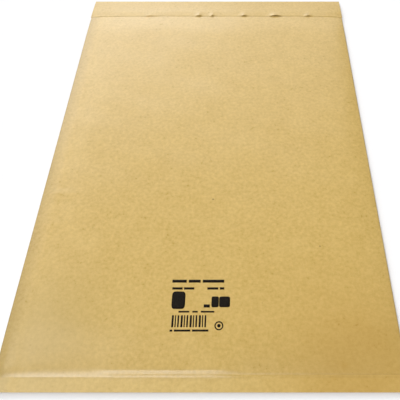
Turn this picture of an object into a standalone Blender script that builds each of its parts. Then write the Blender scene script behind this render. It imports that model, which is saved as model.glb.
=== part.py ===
"""A padded envelope of kraft paper, lying flat with its flap folded down over its mouth.

The paper is one sheet: wrapped round the padding with its glue tab tucked in along the left side,
pressed into a glued band across the bottom, and run on past the mouth as a tongue that folds over
as the flap. Inside it lies the bubble film pouch, and under the flap the adhesive and its release
strip.

Metres, +Z up, +X to the right, +Y towards the flap. The origin is below the middle, on the surface
that the envelope lies on. A distance called "along" is measured from the bottom edge.
"""
import math

import bmesh
import bpy

# Overall size of the envelope
BODY_WIDTH = 0.300
BODY_LENGTH = 0.470
BODY_THICKNESS = 0.0080

# Paper and films
PAPER = 0.00020
ADHESIVE = 0.00020
RELEASE = 0.00015
GLUE_LINE = 0.00005
CLEARANCE = 0.00030

# Glued band across the bottom edge, lifted a little by the padding beside it
BAND_LENGTH = 0.0105
BAND_THICKNESS = 0.0012
BAND_LIFT = 0.0014
BAND_GRIP = 0.0008
CREASE_STEP = 0.0002
BAND_ROUNDING = 0.0002
RISE_LENGTH = 0.030

# Cross-section of the filled body
EDGE_THICKNESS = 0.0040
EDGE_SHARE = 0.30
CROWN_POWER = 10
UNDERSIDE_POWER = 14

# Mouth, pressed flatter by the folded flap
MOUTH_SETBACK = 0.0080
MOUTH_THICKNESS = 0.0052
MOUTH_EDGE = 0.0030
MOUTH_FALL = 0.060

# Glue tab of the wrapped sheet, tucked under the back panel along the left side
TAB_WIDTH = 0.012
TAB_EASE = 0.006
TAB_RISE = PAPER + GLUE_LINE
PANEL_WRAP = 40

# Flap, folded down over the mouth
FLAP_LENGTH = 0.0285
FLAP_EASE = 0.0065
FLAP_EDGE_GAP = 0.0003
FLAP_PINCH_LEFT = 0.0017
FLAP_PINCH_RIGHT = 0.0009

# Ripples along the flap's cut edge: place across as a share of the half width, length, rise
FLAP_RIPPLES = (
    (-0.920, 0.006, 0.0003),
    (-0.780, 0.005, 0.0003),
    (-0.530, 0.014, 0.0006),
    (-0.140, 0.007, 0.0011),
    (-0.033, 0.005, 0.0008),
    (0.218, 0.010, 0.0011),
    (0.469, 0.017, 0.0012),
    (0.727, 0.009, 0.0011),
)

# Closure strips under the flap
STRIP_INSET = 0.008
RELEASE_WIDTH = 0.0115
ADHESIVE_WIDTH = 0.0080

# Padding and the pocket between its two walls
LINER_SETBACK = 0.0020
LINER_TOE = 0.0012
POCKET_GAP = 0.0010
POCKET_SIDE_SEAM = 0.012
POCKET_END_SEAM = 0.016

# How finely the soft forms are divided
WIDE_STEP = 0.014
FINE_STEP = 0.005
FINE_SHARE = 0.84
FOLD_STEPS = 10
SIDE_STEPS = 6
LENGTH_STEPS = 4
WRAP_STEPS = 2
RISE_SHARES = (0.0, 0.04, 0.10, 0.18, 0.30, 0.46, 0.68, 1.0)
FALL_SHARES = (0.0, 0.3, 0.55, 0.8, 1.0)

# Places that follow from the sizes
HALF_WIDTH = BODY_WIDTH / 2
TAB_EDGE = TAB_WIDTH - HALF_WIDTH
MOUTH_AT = BODY_LENGTH - MOUTH_SETBACK
FLAP_STAND = ADHESIVE + RELEASE + 3 * CLEARANCE
FOLD_RADIUS = (MOUTH_THICKNESS + TAB_RISE + FLAP_STAND + PAPER) / 2
FOLD_AT = BODY_LENGTH - FOLD_RADIUS
FLAP_CUT_AT = BODY_LENGTH - FLAP_LENGTH
STRIP_NEAR = FLAP_CUT_AT + FLAP_EASE


def blend(start, end, share):
    """The value that lies a share of the way from start to end."""
    return start + (end - start) * share


def smooth(share):
    """A share from 0 to 1, eased at both ends."""
    share = min(max(share, 0.0), 1.0)
    return share * share * (3.0 - 2.0 * share)


def place_y(along):
    """A distance from the bottom edge as a coordinate of the part."""
    return along - BODY_LENGTH / 2


def station(along):
    """Top, underside, side fold's thickness and side fold's middle height, at one station."""
    sunk = 1.0 - min(max((along - BAND_LENGTH) / RISE_LENGTH, 0.0), 1.0)
    filled = 1.0 - sunk ** 3
    fall = smooth((along - MOUTH_AT + MOUTH_FALL) / MOUTH_FALL)
    low = BAND_LIFT * sunk ** 2
    full_top = blend(BODY_THICKNESS, MOUTH_THICKNESS, fall)
    full_edge = blend(EDGE_THICKNESS, MOUTH_EDGE, fall)
    top = blend(BAND_LIFT + BAND_THICKNESS, full_top, filled)
    edge = blend(BAND_THICKNESS, full_edge, filled)
    middle = low + edge / 2 + (top - low - edge) * EDGE_SHARE
    return top, low, edge, middle


def across_share(x, edge):
    """How far out a place across lies, from 0 at the middle to 1 where the side fold starts."""
    return min(abs(x) / (HALF_WIDTH - edge / 2), 1.0)


def top_height(x, along):
    """Upper surface of the body without the glue tab: the tab's own outer surface."""
    top, _, edge, middle = station(along)
    crown = 1.0 - across_share(x, edge) ** CROWN_POWER
    return blend(middle + edge / 2, top, crown)


def low_height(x, along):
    """Outer surface of the underside."""
    _, low, edge, middle = station(along)
    return blend(low, middle - edge / 2, across_share(x, edge) ** UNDERSIDE_POWER)


def cover_height(x, along):
    """Outer surface of the back panel, which lies over the glue tab along the left side."""
    column = x * HALF_WIDTH / (HALF_WIDTH - station(along)[2] / 2)
    rise = smooth((TAB_EDGE + TAB_EASE - column) / TAB_EASE)
    return top_height(x, along) + TAB_RISE * rise


def ripple_height(x):
    """How far the flap's cut edge stands up off the panel at one place across."""
    rise = FLAP_EDGE_GAP
    for share, length, height in FLAP_RIPPLES:
        off = min(abs(x - share * HALF_WIDTH) / (length / 2), 1.0)
        rise += height * (1.0 - smooth(off))
    return rise


def flap_height(x, along):
    """Outer surface of the folded flap: straight at its fold, draped at its cut edge."""
    drape = smooth((FOLD_AT - along) / (FOLD_AT - FLAP_CUT_AT))
    seat = blend(top_height(0.0, along) + TAB_RISE, cover_height(x, along), drape)
    lowered = smooth((STRIP_NEAR - along) / FLAP_EASE)
    return seat + blend(FLAP_STAND, ripple_height(x), lowered) + PAPER


def columns_between(start, end, extra=()):
    """Places across from start to end, close together near the side folds and at each extra."""
    marks = {start, end}
    for share in (-1.0, -FINE_SHARE, 0.0, FINE_SHARE, 1.0):
        marks.add(share * HALF_WIDTH)
    marks.update(extra)
    marks = sorted(mark for mark in marks if start <= mark <= end)
    columns = [marks[0]]
    for mark in marks[1:]:
        middle = (columns[-1] + mark) / 2
        step = FINE_STEP if abs(middle) > FINE_SHARE * HALF_WIDTH else WIDE_STEP
        gap = mark - columns[-1]
        count = max(math.ceil(gap / step), 1)
        first = columns[-1]
        columns += [first + gap * number / count for number in range(1, count + 1)]
    return columns


def ripple_columns():
    """Each ripple's ends, quarters and middle."""
    places = []
    for share, length, _ in FLAP_RIPPLES:
        places += [share * HALF_WIDTH + length * quarter / 4 for quarter in range(-2, 3)]
    return places


def body_stations(start, end):
    """Stations from start to end: close together where the body fills out and where it falls."""
    rise = [BAND_LENGTH + share * RISE_LENGTH for share in RISE_SHARES]
    fall = [MOUTH_AT - MOUTH_FALL * (1.0 - share) for share in FALL_SHARES]
    span = fall[0] - rise[-1]
    between = [rise[-1] + span * step / LENGTH_STEPS for step in range(1, LENGTH_STEPS)]
    inner = [along for along in rise + between + fall if start < along < end]
    return [start] + inner + [end]


def sheet_columns():
    """The blank's columns in order round the body, from the glue tab's edge to the back panel's."""
    quarter = SIDE_STEPS // 2
    tab = [("tab", x) for x in reversed(columns_between(-HALF_WIDTH, TAB_EDGE)[1:])]
    left = [("left", 90 + 90 * step / quarter) for step in range(SIDE_STEPS + 1)]
    low = [("low", x) for x in columns_between(-HALF_WIDTH, HALF_WIDTH, ripple_columns())[1:-1]]
    right = [("right", -90 + 90 * step / quarter) for step in range(SIDE_STEPS + 1)]
    eased = (TAB_EDGE, TAB_EDGE + TAB_EASE / 2, TAB_EDGE + TAB_EASE)
    top = [("top", x) for x in reversed(columns_between(-HALF_WIDTH, HALF_WIDTH, eased)[1:-1])]
    over = [("over", 90 + PANEL_WRAP * step / WRAP_STEPS) for step in range(WRAP_STEPS + 1)]
    return tab + left + low + right + top + over


def body_point(column, along):
    """Where a column of the blank lies on the wrapped body."""
    kind, value = column
    _, _, edge, middle = station(along)
    flat = HALF_WIDTH - edge / 2
    if kind in ("left", "right", "over"):
        angle = math.radians(value)
        side = flat if kind == "right" else -flat
        radius = edge / 2 + (TAB_RISE if kind == "over" else 0.0)
        return side + radius * math.cos(angle), middle + radius * math.sin(angle)
    height = {"tab": top_height, "low": low_height, "top": cover_height}[kind]
    x = value * flat / HALF_WIDTH
    return x, height(x, along)


def tongue_runs():
    """Distances past the mouth, along the paper, at which the tongue has a row."""
    level = FOLD_AT - MOUTH_AT
    bend = math.pi * FOLD_RADIUS
    rest = FOLD_AT - FLAP_CUT_AT
    level_runs = [level / 2, level]
    bend_runs = [level + bend * step / FOLD_STEPS for step in range(1, FOLD_STEPS + 1)]
    strip_share = (FOLD_AT - STRIP_NEAR) / rest
    shares = (strip_share / 2, strip_share, blend(strip_share, 1.0, 1 / 3),
              blend(strip_share, 1.0, 2 / 3), 1.0)
    return level_runs + bend_runs + [level + bend + rest * share for share in shares]


def tongue_point(column, run):
    """Where a column of the tongue lies, a run past the mouth along the paper."""
    x, mouth_height = body_point(column, MOUTH_AT)
    level = FOLD_AT - MOUTH_AT
    bend = math.pi * FOLD_RADIUS
    reach = FLAP_PINCH_LEFT if x < 0 else FLAP_PINCH_RIGHT
    if run <= level:
        share = smooth(run / level)
        pinched = x * (1.0 - share * reach / HALF_WIDTH)
        return pinched, MOUTH_AT + run, blend(mouth_height, 0.0, share)
    pinched = x * (1.0 - reach / HALF_WIDTH)
    if run < level + bend:
        angle = (run - level) / FOLD_RADIUS
        return (pinched, FOLD_AT + FOLD_RADIUS * math.sin(angle),
                FOLD_RADIUS * (1.0 - math.cos(angle)))
    along = FOLD_AT - (run - level - bend)
    share = (FOLD_AT - along) / (FOLD_AT - FLAP_CUT_AT)
    x = blend(pinched, x, share)
    return x, along, flap_height(x, along)


def material(name, colour, roughness):
    """A plain non-metallic material."""
    made = bpy.data.materials.new(name)
    made.use_nodes = True
    shader = made.node_tree.nodes["Principled BSDF"]
    shader.inputs["Base Color"].default_value = (*colour, 1.0)
    shader.inputs["Roughness"].default_value = roughness
    shader.inputs["Metallic"].default_value = 0.0
    made.diffuse_color = (*colour, 1.0)
    return made


def object_from(mesh_builder, name, collection):
    """A named object made from a bmesh, with its faces pointing out."""
    bmesh.ops.recalc_face_normals(mesh_builder, faces=mesh_builder.faces)
    mesh = bpy.data.meshes.new(name)
    mesh_builder.to_mesh(mesh)
    mesh_builder.free()
    made = bpy.data.objects.new(name, mesh)
    collection.objects.link(made)
    return made


def solidify(target, thickness, offset):
    """Give an open surface its thickness."""
    shell = target.modifiers.new("thickness", "SOLIDIFY")
    shell.thickness = thickness
    shell.offset = offset
    shell.use_even_offset = True


def boolean(target, cutter, operation):
    """Cut an object with another, or join it to it."""
    step = target.modifiers.new(operation.lower(), "BOOLEAN")
    step.operation = operation
    step.solver = "EXACT"
    step.object = cutter


def hide_guide(target):
    """Mark an object as a cutter or a guide."""
    target.hide_render = True
    target.display_type = "WIRE"


def finish(target, finish_material, parent):
    """Give a sub-part its material, smooth shading and parent."""
    target.data.materials.append(finish_material)
    target.data.shade_smooth()
    target.data.set_sharp_from_angle(angle=math.radians(40))
    target.parent = parent


def folded_sheet(collection):
    """The kraft sheet: a flat blank with its tongue, each point then moved to its folded place."""
    columns = sheet_columns()
    stations = body_stations(BAND_LENGTH - BAND_GRIP, MOUTH_AT)
    runs = tongue_runs()
    first_fold = columns.index(("left", 180.0))
    last_fold = columns.index(("right", 0.0))
    blank = bmesh.new()
    bmesh.ops.create_grid(blank, x_segments=len(columns) - 1,
                          y_segments=len(stations) + len(runs) - 1, size=1.0)
    waste = []
    for point in blank.verts:
        number = round((point.co.x + 1.0) / 2.0 * (len(columns) - 1))
        row = round((point.co.y + 1.0) / 2.0 * (len(stations) + len(runs) - 1))
        if row < len(stations):
            x, z = body_point(columns[number], stations[row])
            point.co = (x, place_y(stations[row]), z)
        elif first_fold <= number <= last_fold:
            x, along, z = tongue_point(columns[number], runs[row - len(stations)])
            point.co = (x, place_y(along), z)
        else:
            waste.append(point)
    bmesh.ops.delete(blank, geom=waste, context="VERTS")
    return object_from(blank, "kraft_outer", collection)


def pressed_band(collection):
    """The plies of the bottom edge, pressed and glued into one strip."""
    length = BAND_LENGTH - CREASE_STEP
    bpy.ops.mesh.primitive_cube_add(size=1.0)
    band = bpy.context.object
    band.name = "pressed_band"
    band.location = (0.0, place_y(length / 2), BAND_LIFT + BAND_THICKNESS / 2)
    band.scale = (BODY_WIDTH - PAPER, length, BAND_THICKNESS - PAPER)
    bpy.ops.object.transform_apply(location=False, rotation=False, scale=True)
    rounding = band.modifiers.new("rounding", "BEVEL")
    rounding.width = BAND_ROUNDING
    rounding.segments = 2
    for owner in band.users_collection:
        owner.objects.unlink(band)
    collection.objects.link(band)
    return band


def ring(kind, along):
    """A closed outline of the padding, or of its pocket, at one station."""
    top, low, edge, middle = station(along)
    inset = PAPER + CLEARANCE
    flat = HALF_WIDTH - edge / 2
    radius = edge / 2 - inset
    if kind == "pocket":
        middle = (top + low) / 2
        flat = HALF_WIDTH - POCKET_SIDE_SEAM
        radius = POCKET_GAP / 2
    points = []
    shares = [x / HALF_WIDTH for x in columns_between(-HALF_WIDTH, HALF_WIDTH)]
    for share in shares[1:-1]:
        x = share * flat
        z = middle - radius if kind == "pocket" else low_height(x, along) + inset
        points.append((x, z))
    for step in range(SIDE_STEPS + 1):
        angle = math.radians(-90 + 180 * step / SIDE_STEPS)
        points.append((flat + radius * math.cos(angle), middle + radius * math.sin(angle)))
    for share in reversed(shares[1:-1]):
        x = share * flat
        z = middle + radius if kind == "pocket" else top_height(x, along) - inset
        points.append((x, z))
    for step in range(SIDE_STEPS + 1):
        angle = math.radians(90 + 180 * step / SIDE_STEPS)
        points.append((radius * math.cos(angle) - flat, middle + radius * math.sin(angle)))
    return points


def loft(kind, stations, name, collection):
    """A closed solid through the rings at the stations."""
    solid = bmesh.new()
    rows = []
    for along in stations:
        rows.append([solid.verts.new((x, place_y(along), z)) for x, z in ring(kind, along)])
    count = len(rows[0])
    for near, far in zip(rows, rows[1:]):
        for number in range(count):
            after = (number + 1) % count
            solid.faces.new((near[number], near[after], far[after], far[number]))
    solid.faces.new(list(reversed(rows[0])))
    solid.faces.new(rows[-1])
    return object_from(solid, name, collection)


def closure_strip(name, depth, thickness, width, collection):
    """A strip that hangs under the flap, its upper face a depth below the flap's inner face."""
    centre = STRIP_NEAR + RELEASE_WIDTH / 2
    reach = HALF_WIDTH - STRIP_INSET
    columns = columns_between(-reach, reach, ripple_columns())
    strip = bmesh.new()
    bmesh.ops.create_grid(strip, x_segments=len(columns) - 1, y_segments=1, size=1.0)
    for point in strip.verts:
        x = columns[round((point.co.x + 1.0) / 2.0 * (len(columns) - 1))]
        along = centre + point.co.y * width / 2
        point.co = (x, place_y(along), flap_height(x, along) - PAPER - depth)
    made = object_from(strip, name, collection)
    solidify(made, thickness, -1.0)
    return made


def build():
    """Build every sub-part, with the guides in a collection of their own."""
    for old in list(bpy.data.objects):
        bpy.data.objects.remove(old, do_unlink=True)
    parts = bpy.data.collections.new("padded_envelope")
    cutters = bpy.data.collections.new("cutters")
    for group in (parts, cutters):
        bpy.context.scene.collection.children.link(group)
    root = bpy.data.objects.new("envelope_root", None)
    parts.objects.link(root)

    kraft = folded_sheet(parts)
    solidify(kraft, PAPER, -1.0)
    band = pressed_band(cutters)
    hide_guide(band)
    boolean(kraft, band, "UNION")
    finish(kraft, material("kraft_paper", (0.68, 0.49, 0.20), 0.62), root)

    liner_start = BAND_LENGTH + LINER_TOE
    liner_end = MOUTH_AT - LINER_SETBACK
    liner = loft("liner", body_stations(liner_start, liner_end), "bubble_liner", parts)
    pocket_start = BAND_LENGTH + POCKET_END_SEAM
    pocket = loft("pocket", body_stations(pocket_start, MOUTH_AT), "pocket_cutter", cutters)
    hide_guide(pocket)
    boolean(liner, pocket, "DIFFERENCE")
    finish(liner, material("bubble_film", (0.84, 0.87, 0.88), 0.30), root)

    adhesive = closure_strip("closure_adhesive", CLEARANCE, ADHESIVE, ADHESIVE_WIDTH, parts)
    finish(adhesive, material("hot_melt", (0.80, 0.72, 0.50), 0.35), root)
    release_depth = CLEARANCE + ADHESIVE + CLEARANCE
    release = closure_strip("release_liner", release_depth, RELEASE, RELEASE_WIDTH, parts)
    finish(release, material("silicone_paper", (0.88, 0.87, 0.82), 0.45), root)


build()
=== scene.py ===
# %% [markdown]
# # A padded envelope in kraft paper
#
# The object is one empty bubble envelope, lying flat with its flap folded down. A construction
# model holds the true sizes and the pieces that collide. This script gives it its looks: the folded
# paper with its soft creases, the bubble film inside, the ink, the light and the camera.

# %% Load the fixed frame
import math

import bpy
import numpy as np
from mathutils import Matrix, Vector


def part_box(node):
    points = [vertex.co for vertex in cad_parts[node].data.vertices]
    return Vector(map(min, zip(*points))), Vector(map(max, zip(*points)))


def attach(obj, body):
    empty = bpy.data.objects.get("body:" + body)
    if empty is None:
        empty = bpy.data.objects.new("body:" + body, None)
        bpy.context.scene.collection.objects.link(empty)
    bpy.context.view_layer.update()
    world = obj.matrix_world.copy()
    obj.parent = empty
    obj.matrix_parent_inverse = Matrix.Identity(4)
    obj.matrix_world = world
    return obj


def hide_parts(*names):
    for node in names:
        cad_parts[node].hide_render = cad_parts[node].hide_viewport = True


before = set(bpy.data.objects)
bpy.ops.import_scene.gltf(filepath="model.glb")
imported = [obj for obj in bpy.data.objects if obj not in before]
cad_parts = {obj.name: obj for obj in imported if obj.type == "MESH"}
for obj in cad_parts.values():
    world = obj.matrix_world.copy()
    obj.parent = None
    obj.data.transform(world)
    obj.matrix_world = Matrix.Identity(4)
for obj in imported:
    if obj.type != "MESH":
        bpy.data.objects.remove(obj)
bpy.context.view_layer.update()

MM = 0.001
paper_low, paper_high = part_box("kraft_outer")
WIDTH = paper_high[0] - paper_low[0]
LENGTH = paper_high[1] - paper_low[1]
HALF = WIDTH / 2
print("envelope, mm:", round(WIDTH / MM, 1), "x", round(LENGTH / MM, 1))

# %% [markdown]
# ## The camera
#
# The photograph looks down on the envelope from in front of its bottom edge. Its two long sides
# meet far above the picture, and that vanishing point fixes the tilt. The sides also meet to the
# right of the picture's middle, so the lens was shifted sideways instead of being turned. A small
# shift in the camera's settings does the same and keeps the bottom edge level.

# %% Place the camera
CAMERA_PLACE = (29.0 * MM, -348.5 * MM, 390.3 * MM)
CAMERA_DOWN = 53.87
LENS = 48.0
SIDE_SHIFT = -0.102

camera_data = bpy.data.cameras.new("camera")
camera_data.lens = LENS
camera_data.sensor_width = 36.0
camera_data.shift_x = SIDE_SHIFT
camera_data.clip_start = 0.01
camera = bpy.data.objects.new("camera", camera_data)
camera.location = CAMERA_PLACE
camera.rotation_euler = (math.radians(90.0 - CAMERA_DOWN), 0.0, 0.0)
bpy.context.scene.collection.objects.link(camera)
bpy.context.scene.camera = camera
print("camera looks down", CAMERA_DOWN, "degrees with a", LENS, "mm lens")

# %% [markdown]
# ## The form of the padded body
#
# Two layers of bubble film fill the paper to about 8 mm, and the side folds and the glued bottom
# band pull it flat. One way to make this is a cloth simulation with pressure. Paper hardly
# stretches, though, and the filled form is so plain that a few short formulas give it exactly:
# one for how thick the envelope is at a distance from its bottom edge, and one for how it crowns
# from side to side. They take whole arrays, so a fine mesh costs no more lines than a coarse one.

# %% Helpers for blending
def blend(start, end, share):
    """The value that lies a share of the way from start to end."""
    return start + (end - start) * share


def smooth(share):
    """A share from 0 to 1, eased at both ends."""
    share = np.clip(share, 0.0, 1.0)
    return share * share * (3.0 - 2.0 * share)


def place_y(along):
    """A distance from the bottom edge as a coordinate of the frame."""
    return along - LENGTH / 2


print("the bottom edge is at y, mm:", round(place_y(0.0) / MM, 1))

# %% Shape the body along its length
THICKNESS = 8.0 * MM
BAND_LENGTH = 10.5 * MM
BAND_THICKNESS = 0.7 * MM
BAND_LIFT = 1.65 * MM
RISE_LENGTH = 45.0 * MM
EDGE_THICKNESS = 4.0 * MM
EDGE_SHARE = 0.30
MOUTH_SETBACK = 8.0 * MM
MOUTH_THICKNESS = 5.2 * MM
MOUTH_EDGE = 3.0 * MM
MOUTH_FALL = 60.0 * MM
MOUTH_AT = LENGTH - MOUTH_SETBACK


def rounded(along, length):
    """A rise from 0 at the bottom band to 1 at a length from it, steep first and then level."""
    return 1.0 - (1.0 - np.clip((along - BAND_LENGTH) / length, 0.0, 1.0)) ** 2


def station(along):
    """Top, underside, side fold's thickness and its middle height, along from the bottom edge."""
    filled = rounded(along, RISE_LENGTH)
    fall = smooth((along - MOUTH_AT + MOUTH_FALL) / MOUTH_FALL)
    low = BAND_LIFT * (1.0 - filled)
    top = blend(BAND_LIFT + BAND_THICKNESS, blend(THICKNESS, MOUTH_THICKNESS, fall), filled)
    edge = blend(BAND_THICKNESS, blend(EDGE_THICKNESS, MOUTH_EDGE, fall), filled)
    middle = low + edge / 2 + (top - low - edge) * EDGE_SHARE
    return top, low, edge, middle


print("thickest, mm:", round(float(station(LENGTH / 2)[0]) / MM, 2))

# %% Shape the underside across the body
UNDERSIDE_POWER = 14


def across_share(x, edge):
    """How far out x lies, from 0 at the middle to 1 where the side fold starts."""
    return np.minimum(np.abs(x) / (HALF - edge / 2), 1.0)


def low_height(x, along):
    """Outer surface of the underside."""
    _, low, edge, middle = station(along)
    return blend(low, middle - edge / 2, across_share(x, edge) ** UNDERSIDE_POWER)


print("underside beside a side fold, mm:", round(float(low_height(HALF, LENGTH / 2)) / MM, 2))

# %% [markdown]
# ## What the paper does on its way
#
# Real kraft paper over bubbles is never quite even. It carries a soft, wide unevenness, a faint
# print-through of the bubbles, a few small puckers near the left side, and a shoulder where it
# comes up off the bottom band: round on the left, in two small steps in the middle, and low with a
# fine groove on the right. Each of these is a small height that is added to the plain form. They
# are real geometry, because the light has to catch them from every side, and a seeded generator
# gives the same paper on every run.

# %% Draw the wide swells
RELIEF_SEED = 11
SWELL_COUNT = 14
SWELL_LENGTHS = (30 * MM, 110 * MM)
swells = np.random.default_rng(RELIEF_SEED)
swell_waves = [(swells.uniform(0, math.tau), swells.uniform(*SWELL_LENGTHS),
                swells.uniform(0, math.tau)) for _ in range(SWELL_COUNT)]
print("swells:", len(swell_waves))

# %% Shape the shoulder over the bottom band
LEFT_RISE = 0.95 * MM
MIDDLE_RISE = 0.62 * MM
LEFT_END = -60.0 * MM
LEFT_FADE = 20.0 * MM
RIGHT_START = 10.0 * MM
RIGHT_FADE = 26.0 * MM
SHOULDER_LENGTH = 8.0 * MM
SHOULDER_MARGIN = 1.0 * MM
SHOULDER_FADE = 6.0 * MM
STEP_RISE = 0.38 * MM
STEP_WIDTH = 2.8 * MM
STEP_PLACES = (8.7 * MM, 12.6 * MM)
GROOVE_AT = 12.3 * MM
GROOVE_WIDTH = 1.0 * MM
GROOVE_DEPTH = 0.22 * MM


def shoulder(x, along):
    """What the paper adds as it comes up off the band, besides the plain rise of the body."""
    left = smooth((LEFT_END - x) / LEFT_FADE)
    right = smooth((x - RIGHT_START) / RIGHT_FADE)
    middle = 1.0 - left - right
    filled = rounded(along, RISE_LENGTH)
    steps = sum(smooth((along - at) / STEP_WIDTH) for at in STEP_PLACES)
    groove = np.exp(-((along - GROOVE_AT) / (GROOVE_WIDTH / 2)) ** 2)
    height = ((left * LEFT_RISE + middle * MIDDLE_RISE) * (rounded(along, SHOULDER_LENGTH) - filled)
              + middle * STEP_RISE * (steps - len(STEP_PLACES) * filled)
              - right * GROOVE_DEPTH * groove)
    return height * smooth((HALF - np.abs(x) - SHOULDER_MARGIN) / SHOULDER_FADE)


print("shoulder on the left, mm:", round(float(shoulder(LEFT_END - LEFT_FADE, GROOVE_AT)) / MM, 2))

# %% Add up the small heights
CROWN_POWER = 10
SWELL_HEIGHT = 0.030 * MM
RELIEF_MARGIN = 2.0 * MM
RELIEF_FADES = {"side": 10.0 * MM, "band": 14.0 * MM, "mouth": 40.0 * MM}
BUBBLE_PITCH = 11.5 * MM
BUBBLE_ROW = BUBBLE_PITCH * math.sqrt(3) / 2
BUBBLE_TRACE = 0.02 * MM
PUCKERS = MM * np.array((
    (-132.6, 173.1, 15.0, 3.2, 0.42),
    (-133.0, 140.8, 13.0, 2.6, 0.34),
    (-127.7, 108.2, 10.0, 2.4, 0.26),
))


def relief(x, along):
    """Small heights of the back panel on top of its plain form."""
    height = np.zeros(np.broadcast(x, along).shape)
    for heading, length, phase in swell_waves:
        travel = x * math.cos(heading) + along * math.sin(heading)
        height = height + SWELL_HEIGHT * np.sin(travel * math.tau / length + phase)
    height = height + BUBBLE_TRACE * (np.cos(math.tau * x / BUBBLE_PITCH)
                                      * np.cos(math.pi * along / BUBBLE_ROW))
    for centre, at, reach, fold, rise in PUCKERS:
        side = np.exp(-((x - centre) / reach) ** 2)
        height = height + rise * side * np.exp(-((along - at) / fold) ** 2)
    side_fade = smooth((HALF - np.abs(x) - RELIEF_MARGIN) / RELIEF_FADES["side"])
    band_fade = smooth((along - BAND_LENGTH) / RELIEF_FADES["band"])
    mouth_fade = smooth((MOUTH_AT - along) / RELIEF_FADES["mouth"])
    return height * side_fade * (band_fade * mouth_fade) + shoulder(x, along)


def top_height(x, along):
    """Upper surface of the body without the glue tab."""
    top, _, edge, middle = station(along)
    crown = 1.0 - across_share(x, edge) ** CROWN_POWER
    return blend(middle + edge / 2, top, crown) + relief(x, along)


print("puckers:", len(PUCKERS))

# %% [markdown]
# ## The glue tab and the flap
#
# The sheet is wrapped round the padding, and its glue tab is tucked in under the back panel along
# the left side. Nothing shows there but a soft ridge, 12 mm in from the fold. At the top the
# lower ply runs on as a tongue, turns over in a small round fold and comes down as the flap. Its
# cut edge doesn't lie quite flat: it ripples, and under the ripples the dark beneath the flap
# shows as short lenses. Between them it is pressed thin on the panel, as a cut edge is, so that only
# a faint line shows.

# %% Raise the panel over the glue tab
TAB_EDGE = 12.0 * MM - HALF
TAB_EASE = 6.0 * MM
PAPER = 0.15 * MM
TAB_GAP = 0.08 * MM
TAB_RISE = PAPER + TAB_GAP


def cover_height(x, along):
    """Outer surface of the back panel, which lies over the glue tab along the left side."""
    column = x * HALF / (HALF - station(along)[2] / 2)
    return top_height(x, along) + TAB_RISE * smooth((TAB_EDGE + TAB_EASE - column) / TAB_EASE)


print("rise over the tab, mm:", round(TAB_RISE / MM, 2))

# %% Shape the flap
FLAP_LENGTH = 32.3 * MM
FLAP_EASE = 10.3 * MM
FLAP_EDGE_GAP = 0.01 * MM
CUT_PRESS = 0.25
CUT_PRESS_WIDTH = 1.2 * MM
ADHESIVE = 0.20 * MM
RELEASE = 0.15 * MM
GLUE_LINE = 0.05 * MM
FLAP_STAND = ADHESIVE + RELEASE + 3 * GLUE_LINE
FOLD_RADIUS = (MOUTH_THICKNESS + TAB_RISE + FLAP_STAND + PAPER) / 2
FOLD_AT = LENGTH - FOLD_RADIUS
FLAP_CUT_AT = LENGTH - FLAP_LENGTH
STRIP_NEAR = FLAP_CUT_AT + FLAP_EASE
RIPPLES = MM * np.array((
    (-138.0, 6.0, 0.3), (-117.0, 5.0, 0.3), (-79.5, 14.0, 0.6), (-21.0, 8.0, 1.4),
    (-5.0, 6.0, 1.1), (32.7, 10.0, 1.3), (70.3, 19.0, 1.5), (109.1, 10.0, 1.3),
))


def ripple_height(x):
    """How far the flap's cut edge stands up off the panel."""
    rise = FLAP_EDGE_GAP + np.zeros(np.shape(x))
    for centre, length, height in RIPPLES:
        off = np.clip(np.abs(x - centre) / (length / 2), 0.0, 1.0)
        rise = rise + height * (0.5 + 0.5 * np.cos(math.pi * off))
    return rise


def flap_height(x, along):
    """Outer surface of the folded flap: straight at its fold, draped at its cut edge."""
    drape = smooth((FOLD_AT - along) / (FOLD_AT - FLAP_CUT_AT))
    seat = blend(top_height(0.0, along) + TAB_RISE, cover_height(x, along), drape)
    lowered = smooth((STRIP_NEAR - along) / FLAP_EASE)
    pressed = np.clip((FLAP_CUT_AT + CUT_PRESS_WIDTH - along) / CUT_PRESS_WIDTH, 0.0, 1.0)
    return seat + blend(FLAP_STAND, ripple_height(x), lowered) + PAPER * blend(1.0, CUT_PRESS, pressed)


print("fold radius, mm:", round(FOLD_RADIUS / MM, 2))

# %% [markdown]
# ## Folding the sheet
#
# The paper is one sheet, so it is made as one mesh. Think of the flat blank as a grid: its columns
# run round the body from the glue tab to the cut edge of the back panel, and its rows run from the
# bottom edge to the mouth and on along the tongue. Every grid point is sent to its folded place.
# Cells beside the tongue are left out, as the die cuts them from the real blank. The rows and
# columns are close together at the creases and wide apart on the plain stretches.

# %% Lay out the rows and columns of the blank
STEP = 3.6 * MM
SIDE_STEP = 1.5 * MM
SIDE_STEPS = 12
FLAP_STEP = 1.2 * MM
ARC_STEPS = 10
FOLD_STEPS = 18
LEAST_GAP = 0.5 * MM
TAB_SLACK = 0.1 * MM
ROUND_OFF = 1e-6


def spread(marks, step):
    """Values that pass through every mark and stand no further than a step apart."""
    values = [marks[0]]
    for start, end in zip(marks, marks[1:]):
        count = max(math.ceil((end - start) / step - ROUND_OFF), 1)
        values += [start + (end - start) * number / count for number in range(1, count + 1)]
    return np.array(values)


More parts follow.
